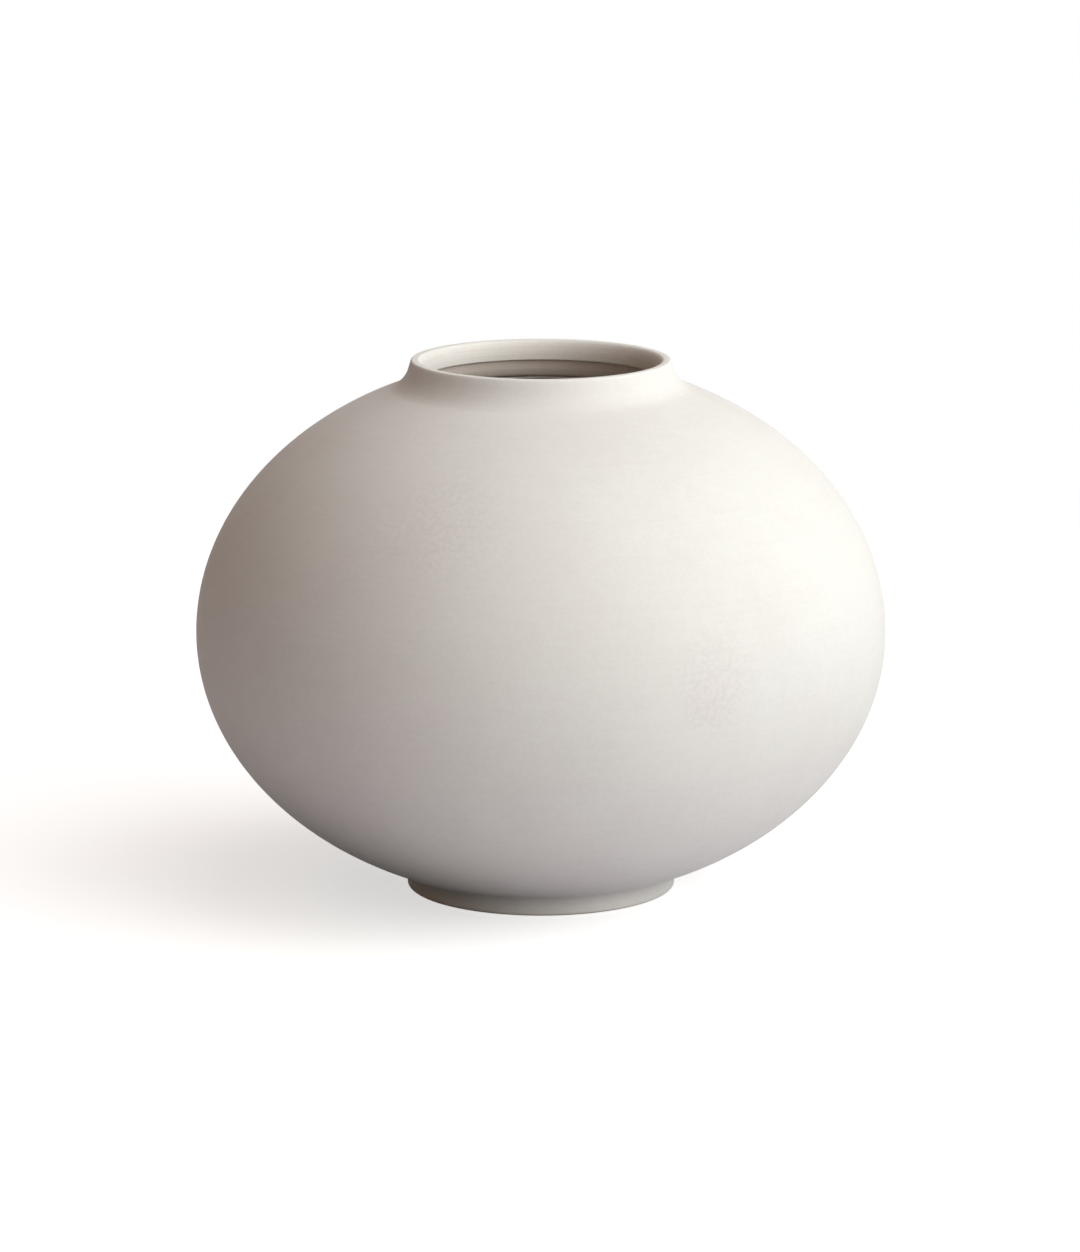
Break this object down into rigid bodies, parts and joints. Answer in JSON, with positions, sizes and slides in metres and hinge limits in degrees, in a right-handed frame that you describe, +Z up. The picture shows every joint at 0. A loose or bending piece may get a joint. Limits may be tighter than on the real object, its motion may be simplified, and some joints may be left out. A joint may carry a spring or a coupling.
{
  "type": "ceramic vase",
  "caption": "Wide round matt ceramic vase with a squashed-sphere body, a short collar with a rounded lip and a low foot ring; it stands on a table and holds flower stems and water.",
  "frame": {"origin": "centre of the face that the foot ring stands on", "axes": "+Z up along the vase's axis, through the mouth; X and Y lie in the floor and are alike, because the vase is turned"},
  "size_m": [0.3, 0.3, 0.2329],
  "materials": {
    "matt_white_slip": "matt warm off-white slip over fired clay, faintly mottled",
    "bare_clay": "matt bare fired clay",
    "inner_glaze": "satin warm grey glaze"
  },
  "bodies": {
    "root": {"neck_collar": "matt_white_slip", "upper_bowl": "matt_white_slip", "lower_bowl": "matt_white_slip", "foot_ring": "matt_white_slip", "belly_seam_coil": "bare_clay", "foot_seam_coil": "bare_clay", "inner_glaze": "inner_glaze"}
  },
  "joints": []
}
